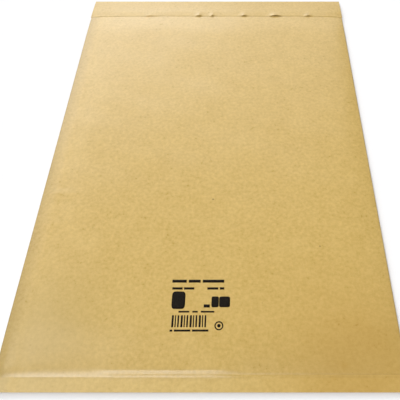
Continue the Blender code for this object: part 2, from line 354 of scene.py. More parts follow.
side_marks = [SIDE_STEP * number for number in range(1, SIDE_STEPS + 1)]
places = {-HALF, HALF, TAB_EDGE + TAB_EASE / 2, TAB_EDGE + TAB_EASE}
places.update(side * (HALF - mark) for mark in side_marks for side in (-1, 1))
for centre, length, _ in RIPPLES:
    places.update(centre + length * quarter / 4 for quarter in range(-2, 3))
columns = [-HALF]
for mark in sorted(places):
    if mark - columns[-1] > LEAST_GAP:
        columns.append(mark)
columns = spread(columns, STEP)
tab_columns = columns[(columns > -HALF) & (columns < TAB_EDGE + TAB_SLACK)][::-1]
arc = np.linspace(0.0, 1.0, ARC_STEPS + 1)
crease_rows = [0.0, 0.4, 4.0, 8.0, 8.7, 9.1, 9.5, 9.9, 10.2, 10.5, 10.8, 11.1, 11.4, 11.8, 12.1,
               12.4, 12.6, 12.8, 13.1, 13.5, 13.9, 14.3, 14.7, 15.1, 15.5, 16.0, 16.5, 17.0, 17.5,
               18.5, 20.0]
body_rows = spread([mark * MM for mark in crease_rows] + [MOUTH_AT], STEP)
level_run = FOLD_AT - MOUTH_AT
bend_run = math.pi * FOLD_RADIUS
flap_run = FOLD_AT - FLAP_CUT_AT
tongue_runs = spread([0.0, level_run, level_run + bend_run], bend_run / FOLD_STEPS)[1:]
flap_runs = level_run + bend_run + spread([0.0, flap_run - FLAP_EASE, flap_run], FLAP_STEP)[1:]
tongue_runs = np.concatenate([tongue_runs, flap_runs])
print("rows:", len(body_rows), "+", len(tongue_runs), "columns across:", len(columns))

# %% [markdown]
# One row of the blank goes once round the body, as the real sheet does: down the glue tab, round
# the left fold, along the underside, round the right fold and back across the top, a paper's
# thickness over the tab. A Bend modifier could fold a flat mesh, but it knows nothing of the layer
# below. Here the row over the tab is worked out from the row of the tab itself.

# %% Wrap one row round the body
PANEL_WRAP = math.radians(40)
OVER_STEPS = 4


def wrapped_row(along):
    """One row of the sheet round the body, from the glue tab to the panel's cut edge."""
    _, _, edge, middle = station(along)
    flat = HALF - edge / 2
    tab_x = tab_columns * flat / HALF
    across = columns[1:-1] * flat / HALF
    left = math.pi / 2 + math.pi * arc
    right = math.pi * arc - math.pi / 2
    over = math.pi / 2 + PANEL_WRAP * np.linspace(0.0, 1.0, OVER_STEPS + 1)
    radius = edge / 2
    x = np.concatenate([tab_x, radius * np.cos(left) - flat, across, radius * np.cos(right) + flat,
                        across[::-1], (radius + TAB_RISE) * np.cos(over) - flat])
    z = np.concatenate([top_height(tab_x, along), middle + radius * np.sin(left),
                        low_height(across, along), middle + radius * np.sin(right),
                        cover_height(across[::-1], along),
                        middle + (radius + TAB_RISE) * np.sin(over)])
    return x, z


LEFT_AT = len(tab_columns)
LOW_AT = LEFT_AT + ARC_STEPS + 1
RIGHT_AT = LOW_AT + len(columns) - 2
TOP_AT = RIGHT_AT + ARC_STEPS + 1
OVER_AT = TOP_AT + len(columns) - 2
wrapped = [wrapped_row(along) for along in body_rows]
round_count = len(wrapped[0][0])
print("points in a row:", round_count)

# %% Lead one row over into the flap
FLAP_PINCH = (1.7 * MM, 0.9 * MM)
TONGUE_START = LEFT_AT + ARC_STEPS // 2
TONGUE_END = RIGHT_AT + ARC_STEPS // 2 + 1
tongue_width = TONGUE_END - TONGUE_START


def tongue_row(run):
    """One row of the tongue, as x, along and z."""
    x, mouth_z = wrapped_row(MOUTH_AT)
    x, mouth_z = x[TONGUE_START:TONGUE_END], mouth_z[TONGUE_START:TONGUE_END]
    reach = np.where(x < 0, FLAP_PINCH[0], FLAP_PINCH[1])
    pinched = x * (1.0 - reach / HALF)
    if run <= level_run:
        share = smooth(run / level_run)
        return blend(x, pinched, share), MOUTH_AT + run, blend(mouth_z, 0.0, share)
    if run < level_run + bend_run:
        angle = (run - level_run) / FOLD_RADIUS
        height = FOLD_RADIUS * (1.0 - math.cos(angle))
        return pinched, FOLD_AT + FOLD_RADIUS * math.sin(angle), np.full(len(x), height)
    along = FOLD_AT - (run - level_run - bend_run)
    x = blend(pinched, x, (FOLD_AT - along) / flap_run)
    return x, along, flap_height(x, along)


print("points in a row of the tongue:", tongue_width)

# %% Collect the body's points and quads
TAB_SETBACK = 0.3 * MM
points = [np.column_stack([x, np.full(round_count, place_y(along)), z])
          for along, (x, z) in zip(body_rows, wrapped)]
points[0][:LEFT_AT, 1] += TAB_SETBACK
faces = []
for row in range(len(body_rows) - 1):
    for number in range(round_count - 1):
        first = row * round_count + number
        faces.append((first, first + round_count, first + round_count + 1, first + 1))
print("body quads:", len(faces))

# %% [markdown]
# The two plies of the bottom band are pressed and glued shut, so the mesh is closed across the
# bottom edge: quads from the lower ply to the upper one, and one small face in each side fold.

# %% Close the bottom edge and add the tongue
across_count = len(columns) - 2
for number in range(across_count - 1):
    upper = OVER_AT - 1 - number
    faces.append((LOW_AT + number, LOW_AT + number + 1, upper - 1, upper))
faces.append((*range(LEFT_AT, LOW_AT + 1), OVER_AT - 1, OVER_AT))
faces.append((RIGHT_AT - 1, *range(RIGHT_AT, TOP_AT + 1)))
previous = (len(body_rows) - 1) * round_count + TONGUE_START
start = len(body_rows) * round_count
for run in tongue_runs:
    x, along, z = tongue_row(run)
    points.append(np.column_stack([x, np.full(tongue_width, place_y(along)), z]))
    for number in range(tongue_width - 1):
        faces.append((previous + number, start + number, start + number + 1, previous + number + 1))
    previous = start
    start += tongue_width
print("sheet faces:", len(faces))

# %% [markdown]
# The points and quads become a mesh of no thickness, and a Solidify modifier gives it the paper's.
# Its outer face stays where the formulas put it. The last row of the flap is in a vertex group that
# lets the modifier make the cut edge thinner.

# %% Make the kraft sheet
def mesh_piece(name, vertices, polygons, thickness=0.0, offset=-1.0, crease_angle=35.0):
    """A smooth-shaded object from points and faces, with a thickness if one is given."""
    mesh = bpy.data.meshes.new(name)
    mesh.from_pydata([tuple(map(float, vertex)) for vertex in vertices], [], polygons)
    mesh.validate()
    made = bpy.data.objects.new(name, mesh)
    bpy.context.scene.collection.objects.link(made)
    mesh.shade_smooth()
    if thickness:
        shell = made.modifiers.new("thickness", "SOLIDIFY")
        shell.thickness = thickness
        shell.offset = offset
        shell.use_even_offset = True
    mesh.set_sharp_from_angle(angle=math.radians(crease_angle))
    return made


kraft_sheet = mesh_piece("kraft_sheet", np.vstack(points), faces, PAPER)
cut_edge = kraft_sheet.vertex_groups.new(name="cut_edge")
cut_edge.add(list(range(start - tongue_width, start)), 1.0, "REPLACE")
shell = kraft_sheet.modifiers["thickness"]
shell.vertex_group = "cut_edge"
shell.invert_vertex_group = True
shell.thickness_vertex_group = CUT_PRESS
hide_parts("kraft_outer")
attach(kraft_sheet, "root")
top_face = max(kraft_sheet.data.polygons, key=lambda face: face.center.z)
print("kraft sheet:", len(kraft_sheet.data.polygons), "faces, top faces up:", top_face.normal.z > 0)

# %% [markdown]
# ## The bubble film inside
#
# The padding is a pouch of bubble film, open at the mouth, with its bubbles towards the paper. It
# could be left plain, as nobody sees into a closed envelope. It is what makes the thing an
# envelope of this kind, though, so it is all there: two flat walls of film with the pocket
# between them, and rows of domes in the usual staggered pattern. Where the body gets thin, near
# the folds and the band, the domes get lower, as squeezed bubbles do.

# %% Make the pouch's film
LINER_SETBACK = 2.0 * MM
LINER_TOE = 1.2 * MM
FILM = 0.12 * MM
POCKET_HALF = 0.5 * MM
SEAM = 4.0 * MM
SEAM_MARGIN = 1.2 * MM
WALL_STAND = FILM * 0.75
WALL_MARGIN = FILM * 0.7
LINER_LEVEL_AT = 60.0 * MM
FILM_STEP_ALONG = 9.0 * MM
FILM_STEP_ACROSS = 6.0 * MM
CLEARANCE = 0.3 * MM
INSET = PAPER + CLEARANCE
liner_rows = spread([BAND_LENGTH + LINER_TOE, BAND_LENGTH + LINER_TOE + SEAM, LINER_LEVEL_AT,
                     MOUTH_AT - LINER_SETBACK], FILM_STEP_ALONG)
seam_reach = HALF - INSET - SEAM_MARGIN
film_columns = spread([-seam_reach, -seam_reach + SEAM, seam_reach - SEAM, seam_reach],
                      FILM_STEP_ACROSS)


def pocket_middle(x, along):
    """Height of the pocket's middle: halfway between the underside and the top."""
    return (low_height(x, along) + top_height(x, along)) / 2


def pocket_opening(x, along):
    """Half the gap between the two walls: closed at the seams, and never more than there is room."""
    inner = smooth((seam_reach - SEAM / 4 - np.abs(x)) / SEAM)
    opening = POCKET_HALF * inner * smooth((along - liner_rows[0]) / SEAM) + WALL_STAND
    room = (top_height(x, along) - low_height(x, along)) / 2 - PAPER - WALL_MARGIN
    return np.minimum(opening, room)


film_points = []
film_faces = []
for side in (1, -1):
    base = len(film_points)
    for along in liner_rows:
        opening = side * pocket_opening(film_columns, along)
        heights = pocket_middle(film_columns, along) + opening
        film_points += [(x, place_y(along), z) for x, z in zip(film_columns, heights)]
    wide = len(film_columns)
    for row in range(len(liner_rows) - 1):
        for number in range(wide - 1):
            first = base + row * wide + number
            quad = (first, first + 1, first + 1 + wide, first + wide)
            film_faces.append(quad if side > 0 else quad[::-1])
print("film quads:", len(film_faces))

# %% [markdown]
# A bubble is a low dome with steep sides, closed at its foot. Two rings and a tip over the foot's
# ring are enough for one of 10 mm. Every second row is moved by half a bubble, and a bubble is left
# out where there is no room for it between the film and the paper.

# %% Shape one bubble
DOME_RADIUS = 4.8 * MM
DOME_SIDES = 10
DOME_PROFILE = ((1.0, 0.0), (0.93, 0.60), (0.60, 0.95))


def dome(x, along, side, height):
    """Points and faces of one closed bubble that stands on a wall of the pouch."""
    foot = float(pocket_middle(x, along) + side * pocket_opening(x, along)) + side * FILM / 2
    turns = np.arange(DOME_SIDES) * math.tau / DOME_SIDES
    rings = [(x + DOME_RADIUS * wide * np.cos(turns), along + DOME_RADIUS * wide * np.sin(turns),
              np.full(DOME_SIDES, foot + side * height * tall)) for wide, tall in DOME_PROFILE]
    made = [point for ring in rings for point in zip(ring[0], place_y(ring[1]), ring[2])]
    made += [(x, place_y(along), foot + side * height)]
    quads = []
    for number in range(DOME_SIDES):
        after = (number + 1) % DOME_SIDES
        for ring in range(len(DOME_PROFILE) - 1):
            low_ring, high_ring = ring * DOME_SIDES, (ring + 1) * DOME_SIDES
            quads.append((low_ring + number, low_ring + after, high_ring + after, high_ring + number))
        quads.append((high_ring + number, high_ring + after, len(made) - 1))
    quads.append(tuple(reversed(range(DOME_SIDES))))
    return made, quads if side > 0 else [quad[::-1] for quad in quads]


def dome_height(x, along, side):
    """The room for a bubble between its wall of the pouch and the paper over its rim."""
    rim = DOME_RADIUS * DOME_PROFILE[1][0]
    rim_x = x + rim * np.array([-1, 1, 0, 0, 0])
    rim_along = along + rim * np.array([0, 0, -1, 1, 0])
    foot = pocket_middle(x, along) + side * pocket_opening(x, along)
    if side > 0:
        return float(np.min(top_height(rim_x, rim_along)) - INSET - foot) - FILM / 2
    return float(foot - np.max(low_height(rim_x, rim_along)) - INSET) - FILM / 2


print("room for a bubble, mm:", round(dome_height(0.0, LENGTH / 2, 1) / MM, 2))

# %% Set the bubbles out in rows
DOME_LEAST = 0.5 * MM
bubble_points = []
bubble_faces = []
bubbles = 0
row_count = int((liner_rows[-1] - DOME_RADIUS) / BUBBLE_ROW)
across_reach = int(HALF / BUBBLE_PITCH) + 1
for row in range(row_count + 1):
    along = row * BUBBLE_ROW
    if along < liner_rows[0] + SEAM + DOME_RADIUS:
        continue
    for number in range(-across_reach, across_reach + 1):
        x = (number + (row % 2) / 2) * BUBBLE_PITCH
        if abs(x) > seam_reach - SEAM - DOME_RADIUS:
            continue
        for side in (1, -1):
            height = dome_height(x, along, side)
            if height < DOME_LEAST:
                continue
            made, quads = dome(x, along, side, height)
            base = len(bubble_points)
            bubble_points += made
            bubble_faces += [tuple(base + corner for corner in quad) for quad in quads]
            bubbles += 1
print("bubbles:", bubbles)

# %% [markdown]
# The walls get their thickness, and then the film and its bubbles become one piece, as they are
# welded on the real pouch.

# %% Join the pouch
film = mesh_piece("bubble_pouch", film_points, film_faces, FILM, 0.0)
bubble_shells = mesh_piece("bubble_shells", bubble_points, bubble_faces, crease_angle=50.0)
with bpy.context.temp_override(active_object=film, object=film, selected_objects=[film],
                               selected_editable_objects=[film]):
    bpy.ops.object.modifier_apply(modifier="thickness")
with bpy.context.temp_override(active_object=film, object=film,
                               selected_objects=[film, bubble_shells],
                               selected_editable_objects=[film, bubble_shells]):
    bpy.ops.object.join()
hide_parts("bubble_liner")
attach(film, "root")
print("pouch faces:", len(film.data.polygons))

# %% [markdown]
# ## The closure strips
#
# Across the inside of the flap runs a strip of hot-melt adhesive, with a strip of siliconed paper
# over it until it is used. Both are thin bands that follow the flap from below, so they take their
# height from the flap's. The adhesive is laid on hot, and its edges wander a little.

# %% Make the strips under the flap
STRIP_INSET = 8.0 * MM
RELEASE_WIDTH = 11.5 * MM
ADHESIVE_WIDTH = 8.0 * MM
STRIP_STEPS = 4
WANDER = 0.25 * MM
WANDER_LENGTHS = (7.0 * MM, 19.0 * MM)


def closure_strip(name, depth, thickness, width, wander):
    """A strip under the flap, its upper face a depth below the flap's inner face."""
    reach = HALF - STRIP_INSET
    inside = columns[np.abs(columns) < reach]
    across = np.concatenate([[-reach], inside, [reach]])
    middle = STRIP_NEAR + RELEASE_WIDTH / 2
    rows = []
    for side in np.linspace(-1.0, 1.0, STRIP_STEPS + 1):
        wave = wander * np.sin(across / WANDER_LENGTHS[0] + side) * np.sin(across / WANDER_LENGTHS[1])
        along = middle + side * (width / 2 + wave)
        rows.append(np.column_stack([across, place_y(along),
                                     flap_height(across, along) - PAPER - depth]))
    wide = len(across)
    quads = [(row * wide + number, row * wide + number + 1,
              (row + 1) * wide + number + 1, (row + 1) * wide + number)
             for row in range(len(rows) - 1) for number in range(wide - 1)]
    return mesh_piece(name, np.vstack(rows), quads, thickness)


adhesive_strip = closure_strip("adhesive_strip", GLUE_LINE, ADHESIVE, ADHESIVE_WIDTH, WANDER)
release_strip = closure_strip("release_strip", 2 * GLUE_LINE + ADHESIVE, RELEASE, RELEASE_WIDTH, 0.0)
for strip, stands_for, finish in ((adhesive_strip, "closure_adhesive", "hot_melt"),
                                  (release_strip, "release_liner", "release_paper")):
    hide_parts(stands_for)
    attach(strip, "root")
print("strip faces:", len(adhesive_strip.data.polygons) + len(release_strip.data.polygons))

# %% [markdown]
# ## The printed block
#
# Low on the back panel the real envelope carries a small block of black print. Here it is a plain
# block of bars, strokes and one ring, which keeps the weight and place of the print and says
# nothing. Ink could be painted in the paper's material. As thin pieces, draped over the paper at
# the paper's own height, its edges stay crisp in any close view.

# %% Make the pens for blocks and strokes
INK_LIFT = 0.03 * MM
INK_STEP = 3.0
ink_points = []
ink_faces = []


def lay(across, along):
    """Put one point of ink on the paper, in millimetres, and give its number."""
    x, at = across * MM, along * MM
    ink_points.append((x, place_y(at), float(cover_height(x, at)) + INK_LIFT))
    return len(ink_points) - 1


def block(left, right, low, high):
    """A rectangle of ink, divided so that it follows the paper."""
    wide = max(math.ceil((right - left) / INK_STEP), 1)
    tall = max(math.ceil((high - low) / INK_STEP), 1)
    grid = [[lay(blend(left, right, column / wide), blend(low, high, row / tall))
             for column in range(wide + 1)] for row in range(tall + 1)]
    for row in range(tall):
        for column in range(wide):
            ink_faces.append((grid[row][column], grid[row][column + 1],
                              grid[row + 1][column + 1], grid[row + 1][column]))


def strokes(left, right, low, high, shares, gap):
    """A line of print as a few solid strokes, their lengths in the given shares."""
    room = right - left - gap * (len(shares) - 1)
    start = left
    for share in shares:
        end = start + room * share / sum(shares)
        block(start, end, low, high)
        start = end + gap


print("a point of ink lies", round(INK_LIFT / MM, 2), "mm over the paper")

# %% Make the pen for round marks
INK_RINGS = 4


def squared(wave, power):
    """A sine or cosine with its size bent, so that a circle becomes squarer as the power grows."""
    return math.copysign(abs(wave) ** (2.0 / power), wave)


def round_block(across, along, half_width, half_height, hollow=0.0, power=2.0, sides=32):
    """A disc, ring or rounded block of ink."""
    turns = [math.tau * number / sides for number in range(sides)]
    rings = []
    for share in np.linspace(hollow, 1.0, INK_RINGS):
        if share == 0.0:
            rings.append([lay(across, along)] * sides)
            continue
        rings.append([lay(across + share * half_width * squared(math.cos(turn), power),
                          along + share * half_height * squared(math.sin(turn), power))
                      for turn in turns])
    for inner, outer in zip(rings, rings[1:]):
        for number in range(sides):
            after = (number + 1) % sides
            face = (inner[number], outer[number], outer[after], inner[after])
            ink_faces.append(tuple(dict.fromkeys(face)))


print("a round mark has", INK_RINGS, "rings")

# %% [markdown]
# The marks are laid out like the lines of a label, from the top down. Each line of strokes has its
# left and right end, its foot and head, the shares of its strokes and the gap between them. Each
# round mark has its middle and its two half sizes, and a higher power makes it squarer.

# %% Lay the marks and the striped field
STROKE_LINES = (
    (-25.6, 15.8, 84.0, 86.6, (6, 5, 9), 1.6),
    (-25.2, -7.8, 77.9, 79.9, (1, 1), 1.0),
    (2.5, 15.9, 77.9, 79.9, (5, 2), 1.2),
    (0.2, 5.0, 62.6, 65.2, (1,), 0.0),
    (-19.0, 8.6, 58.4, 59.8, (4, 2, 5), 2.4),
    (-24.7, 4.6, 43.2, 44.8, (1, 6, 6), 1.2),
)
ROUND_MARKS = (
    {"across": -19.6, "along": 68.8, "half_width": 5.3, "half_height": 7.5, "power": 5.0},
    {"across": 9.0, "along": 67.4, "half_width": 2.9, "half_height": 4.6, "power": 6.0},
    {"across": 16.4, "along": 67.4, "half_width": 4.3, "half_height": 4.6, "power": 6.0},
    {"across": 12.4, "along": 47.8, "half_width": 3.4, "half_height": 3.6, "hollow": 0.72},
    {"across": 12.4, "along": 47.8, "half_width": 1.3, "half_height": 1.4, "sides": 20},
)
STRIPES_START = -23.7
STRIPES_END = 1.6
STRIPES_FOOT = 46.6
STRIPES_HEAD = 56.2
STRIPE_WIDTHS = (1.5, 0.9, 1.2)
STRIPE_GAPS = (0.9, 1.1, 1.3)
for line in STROKE_LINES:
    strokes(*line)
for mark in ROUND_MARKS:
    round_block(**mark)
stripe_left = STRIPES_START
stripe = 0
while stripe_left < STRIPES_END:
    stripe_right = stripe_left + STRIPE_WIDTHS[stripe % len(STRIPE_WIDTHS)]
    block(stripe_left, stripe_right, STRIPES_FOOT, STRIPES_HEAD)
    stripe_left = stripe_right + STRIPE_GAPS[stripe % len(STRIPE_GAPS)]
    stripe += 1
print("lines:", len(STROKE_LINES), "round marks:", len(ROUND_MARKS), "stripes:", stripe)

# %% [markdown]
# Real ink soaks in. Here the marks are one thin mesh a hair over the paper, so that the two faces
# never share a place, which would make them flicker.

# %% Make the ink a piece
INK_THICKNESS = 0.02 * MM
printed_marks = mesh_piece("printed_marks", ink_points, ink_faces, INK_THICKNESS)
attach(printed_marks, "root")
print("ink faces:", len(ink_faces))

# %% [markdown]
# ## Materials: helpers
#
# Every material here is a small network of nodes. A few short helpers keep them readable. The first
# adds a node and fills or links its inputs, and the others use it for a sum, a mix of two colours,
# a share that rises towards an edge, a group, and the last links to the shader.

# %% Helpers for node networks
def node(tree, kind, values=None, **settings):
    """Add a node. Each value is a number, a colour or the output of another node."""
    made = tree.nodes.new("ShaderNode" + kind)
    for key, value in settings.items():
        setattr(made, key, value)
    for key, value in (values or {}).items():
        if isinstance(value, bpy.types.NodeSocket):
            tree.links.new(value, made.inputs[key])
        else:
            made.inputs[key].default_value = value
    return made


def calc(tree, operation, first, second=0.0, third=0.0, clamp=False):
    """The output of a Math node."""
    made = node(tree, "Math", {0: first, 1: second, 2: third}, operation=operation, use_clamp=clamp)
    return made.outputs[0]


def mix_colour(tree, share, first, second, kind="MIX"):
    """The output of a colour Mix node."""
    made = node(tree, "Mix", {0: share, 6: first, 7: second}, data_type="RGBA", blend_type=kind)
    return made.outputs[2]


def rising(tree, value, end, width):
    """A share: 0 a width before the end, 1 from the end on. A negative width turns it round."""
    return calc(tree, "MULTIPLY_ADD", value, 1 / width, 1.0 - end / width, clamp=True)


print("node helpers ready")

# %% Helpers for groups and materials
def new_group(name, inputs, outputs):
    """A node group with named inputs and outputs."""
    group = bpy.data.node_groups.new(name, "ShaderNodeTree")
    for title, kind in inputs:
        group.interface.new_socket(name=title, in_out="INPUT", socket_type="NodeSocket" + kind)
    for title, kind in outputs:
        group.interface.new_socket(name=title, in_out="OUTPUT", socket_type="NodeSocket" + kind)
    return group, group.nodes.new("NodeGroupInput").outputs, group.nodes.new("NodeGroupOutput").inputs


def use_group(tree, group, values):
    """Place a group in a material with its own values, and give its outputs."""
    return node(tree, "Group", values, node_tree=group).outputs


def new_material(name, colour, roughness):
    """A node material with its shader and its place on the object."""
    made = bpy.data.materials.new(name)
    made.use_nodes = True
    shader = made.node_tree.nodes["Principled BSDF"]
    shader.inputs["Base Color"].default_value = (*colour, 1.0)
    shader.inputs["Roughness"].default_value = roughness
    made.diffuse_color = (*colour, 1.0)
    return made, made.node_tree, shader, node(made.node_tree, "TexCoord").outputs["Object"]


def link_shader(tree, shader, colour, pattern, roughness, height=None, strength=0.0, depth=0.0):
    """Link a colour, a roughness that a pattern leads from low to high, and a fine bump."""
    low, high = roughness
    tree.links.new(colour, shader.inputs["Base Color"])
    tree.links.new(calc(tree, "MULTIPLY_ADD", pattern, high - low, low), shader.inputs["Roughness"])
    if height is not None:
        bump = node(tree, "Bump", {"Strength": strength, "Distance": depth, "Height": height})
        tree.links.new(bump.outputs[0], shader.inputs["Normal"])


print("material helpers ready")

# %% [markdown]
# ## Paper grain
#
# Paper is a mat of fibres. From arm's length it shows as a soft mottle of 1 to 3 mm, from close by
# as fine pale threads. The kraft, the ink on it and the white cover all use it, so it is a node
# group. A fine and a wide noise make the mottle. Thin lines where three stretched noises pass their
# middle value make the threads.

# %% Build the paper grain group
FINE_SHARE = 0.75
THREAD_STRETCHES = ((1.0, 0.14, 1.0), (0.16, 1.0, 1.0), (0.6, 0.5, 0.2))
THREAD_SHARPNESS = 28.0
THREAD_HEIGHT = 0.35
paper_grain, given, result = new_group(
    "paper grain",
    (("Place", "Vector"), ("Mottle size", "Float"), ("Cloud size", "Float"), ("Thread size", "Float")),
    (("Mottle", "Float"), ("Threads", "Float"), ("Height", "Float")))
fine = node(paper_grain, "TexNoise", {
    "Vector": given["Place"], "Scale": calc(paper_grain, "DIVIDE", 1.0, given["Mottle size"]),
    "Detail": 3.0, "Roughness": 0.6})
wide = node(paper_grain, "TexNoise", {
    "Vector": given["Place"], "Scale": calc(paper_grain, "DIVIDE", 1.0, given["Cloud size"]),
    "Detail": 2.0, "Roughness": 0.5})
mottle = calc(paper_grain, "MULTIPLY_ADD", fine.outputs[0], FINE_SHARE,
              calc(paper_grain, "MULTIPLY", wide.outputs[0], 1.0 - FINE_SHARE))
thread_masks = []
for stretch in THREAD_STRETCHES:
    drawn = node(paper_grain, "VectorMath", {0: given["Place"], 1: stretch}, operation="MULTIPLY")
    threads = node(paper_grain, "TexNoise", {
        "Vector": drawn.outputs[0], "Scale": calc(paper_grain, "DIVIDE", 1.0, given["Thread size"]),
        "Detail": 1.0})
    off = calc(paper_grain, "ABSOLUTE", calc(paper_grain, "SUBTRACT", threads.outputs[0], 0.5))
    thread_masks.append(calc(paper_grain, "MULTIPLY_ADD", off, -THREAD_SHARPNESS, 1.0, clamp=True))
thread_mask = calc(paper_grain, "MAXIMUM", calc(paper_grain, "MAXIMUM", *thread_masks[:2]),
                   thread_masks[2])
paper_grain.links.new(mottle, result["Mottle"])
paper_grain.links.new(thread_mask, result["Threads"])
height = calc(paper_grain, "MULTIPLY_ADD", thread_mask, THREAD_HEIGHT, mottle)
paper_grain.links.new(height, result["Height"])
print("paper grain group:", len(paper_grain.nodes), "nodes")

# %% [markdown]
# ## Flecks
#
# Brown paper also holds odd flecks of bark and unbleached fibre, a few to the square inch. Cells of
# a Voronoi texture scatter them: each cell has its own random colour, and only cells with a low
# value show a fleck in their middle.

# %% Build the fleck group
FLECK_EDGE_SCALE = 900.0
flecks, given, result = new_group(
    "flecks", (("Place", "Vector"), ("Spacing", "Float"), ("Size", "Float"), ("Share", "Float")),
    (("Mask", "Float"),))
bent = node(flecks, "TexNoise", {"Vector": given["Place"], "Scale": FLECK_EDGE_SCALE, "Detail": 1.0})
cells = node(flecks, "TexVoronoi", {
    "Vector": given["Place"], "Scale": calc(flecks, "DIVIDE", 1.0, given["Spacing"])})
cell_value = node(flecks, "SeparateColor", {0: cells.outputs["Color"]}).outputs[0]
chosen = calc(flecks, "LESS_THAN", cell_value, given["Share"])
reach = calc(flecks, "DIVIDE", given["Size"], given["Spacing"])
edge_noise = calc(flecks, "MULTIPLY_ADD", bent.outputs[0], 0.9, 0.35)
near = calc(flecks, "DIVIDE", cells.outputs["Distance"], calc(flecks, "MULTIPLY", reach, edge_noise))
soft = calc(flecks, "MULTIPLY_ADD", near, -2.0, 2.0, clamp=True)
flecks.links.new(calc(flecks, "MULTIPLY", soft, chosen), result["Mask"])
print("fleck group:", len(flecks.nodes), "nodes")

# %% [markdown]
# ## Kraft paper
#
# The paper is a warm golden brown, pressed smooth enough to carry a soft sheen, so its roughness is
# a good way below the middle. The colour runs between a darker and a paler brown with the mottle,
# and threads and flecks lie over it. Then come the marks of this one sheet: two dark specks and a
# golden spot, each a soft ball of colour round a place. Two wider soft balls are painted shade, a
# warmer one at the bottom right and a greyer one at the bottom left. The left side darkens towards
# its fold, and both side folds have a fine dark line: painted shade. The pressed band is a little
# paler on the left, which is painted sheen. The fold of the flap is paler too, a painted highlight
# where the round fold catches the light, broken up by the mottle.

# %% Mix the kraft's brown
KRAFT_DARK = (0.525, 0.342, 0.080, 1.0)
KRAFT_PALE = (0.705, 0.493, 0.162, 1.0)
MOTTLE_GAIN = 2.0
KRAFT_GRAIN = {"Mottle size": 2.9 * MM, "Cloud size": 14 * MM, "Thread size": 0.9 * MM}
THREAD_SHARE = 0.10
THREAD_COLOUR = (0.86, 0.68, 0.36, 1.0)
BARK = {"Spacing": 9 * MM, "Size": 0.55 * MM, "Share": 0.30}
BARK_SHARE = 0.45
BARK_COLOUR = (0.20, 0.11, 0.03, 1.0)
kraft, tree, shader, place = new_material("kraft", (0.64, 0.455, 0.145), 0.30)
grain = use_group(tree, paper_grain, {"Place": place, **KRAFT_GRAIN})
mottle_share = calc(tree, "MULTIPLY_ADD", grain["Mottle"], MOTTLE_GAIN, (1 - MOTTLE_GAIN) / 2,
                    clamp=True)
brown = mix_colour(tree, mottle_share, KRAFT_DARK, KRAFT_PALE)
brown = mix_colour(tree, calc(tree, "MULTIPLY", grain["Threads"], THREAD_SHARE), brown, THREAD_COLOUR)
bark = use_group(tree, flecks, {"Place": place, **BARK})
brown = mix_colour(tree, calc(tree, "MULTIPLY", bark["Mask"], BARK_SHARE), brown, BARK_COLOUR)
print("brown so far:", len(tree.nodes), "nodes")

# %% Add the spots and the patches of painted shade
PATCH_SOFT = 0.2
# Two dark specks and a golden spot of the paper's own, then two broad patches of painted shade.
SPOTS_AND_SHADE_PATCHES = (
    ((4.4 * MM, place_y(166.4 * MM), THICKNESS), 1.3 * MM, 0.85, (0.16, 0.09, 0.03, 1.0)),
    ((95.1 * MM, place_y(117.8 * MM), THICKNESS), 1.1 * MM, 0.75, BARK_COLOUR),
    ((104.4 * MM, place_y(18.4 * MM), 4.0 * MM), 4.0 * MM, 0.45, (0.52, 0.31, 0.04, 1.0)),
    # Painted shade: a broad, darker and warmer patch at the bottom right.
    ((118.0 * MM, place_y(20.0 * MM), 4.0 * MM), 110.0 * MM, 0.50, (0.49, 0.29, 0.065, 1.0)),
    # Painted shade: a broad, darker and greyer patch at the bottom left.
    ((-120.0 * MM, place_y(45.0 * MM), 4.0 * MM), 80.0 * MM, 0.40, (0.465, 0.336, 0.11, 1.0)),
)
for patch_centre, reach, depth, tint in SPOTS_AND_SHADE_PATCHES:
    away = node(tree, "VectorMath", {0: place, 1: patch_centre}, operation="DISTANCE").outputs["Value"]
    near = rising(tree, away, PATCH_SOFT * reach, -reach)
    near = calc(tree, "MULTIPLY", calc(tree, "MULTIPLY", near, near), depth)
    brown = mix_colour(tree, near, brown, tint)
print("spots and patches:", len(SPOTS_AND_SHADE_PATCHES))

# %% Paint shade on the left side and the folds, sheen on the band and a highlight on the flap's fold
# Painted shade: the left side gets darker towards its fold.
PAINTED_SIDE_SHADE_WIDTH = 14.0 * MM
PAINTED_SIDE_SHADE = (0.78, 0.78, 0.80, 1.0)
# Painted shade: a fine dark line along both side folds.
FOLD_SHADE_WIDTH = 2.0 * MM
FOLD_SHADE = (0.86, 0.86, 0.88, 1.0)
# Painted sheen: the bottom band paler towards the left.
BAND_SHEEN_SHARE = 0.12
BAND_SHEEN_REACH = 80.0 * MM
BAND_SHEEN_COLOUR = (0.78, 0.67, 0.40, 1.0)
# Painted highlight: paler along the flap's round fold.
FOLD_HIGHLIGHT_WIDTH = 1.4 * MM
FOLD_HIGHLIGHT_COLOUR = (0.80, 0.63, 0.33, 1.0)
KRAFT_ROUGHNESS = (0.22, 0.38)
across, along, _ = node(tree, "SeparateXYZ", {0: place}).outputs
below_flap = calc(tree, "LESS_THAN", along, place_y(FLAP_CUT_AT))
# Painted shade: the left side darker towards its fold, below the flap.
painted_side_shade = calc(tree, "MULTIPLY", rising(tree, across, -HALF, -PAINTED_SIDE_SHADE_WIDTH), below_flap)
brown = mix_colour(tree, painted_side_shade, brown, PAINTED_SIDE_SHADE, "MULTIPLY")
# Painted shade along both side folds.
at_fold = rising(tree, calc(tree, "ABSOLUTE", across), HALF, FOLD_SHADE_WIDTH)
brown = mix_colour(tree, at_fold, brown, FOLD_SHADE, "MULTIPLY")
# Painted sheen on the left of the bottom band.
on_band = calc(tree, "LESS_THAN", along, place_y(BAND_LENGTH))
band_sheen = calc(tree, "MULTIPLY", on_band, rising(tree, across, 0.0, -BAND_SHEEN_REACH))
brown = mix_colour(tree, calc(tree, "MULTIPLY", band_sheen, BAND_SHEEN_SHARE), brown, BAND_SHEEN_COLOUR)
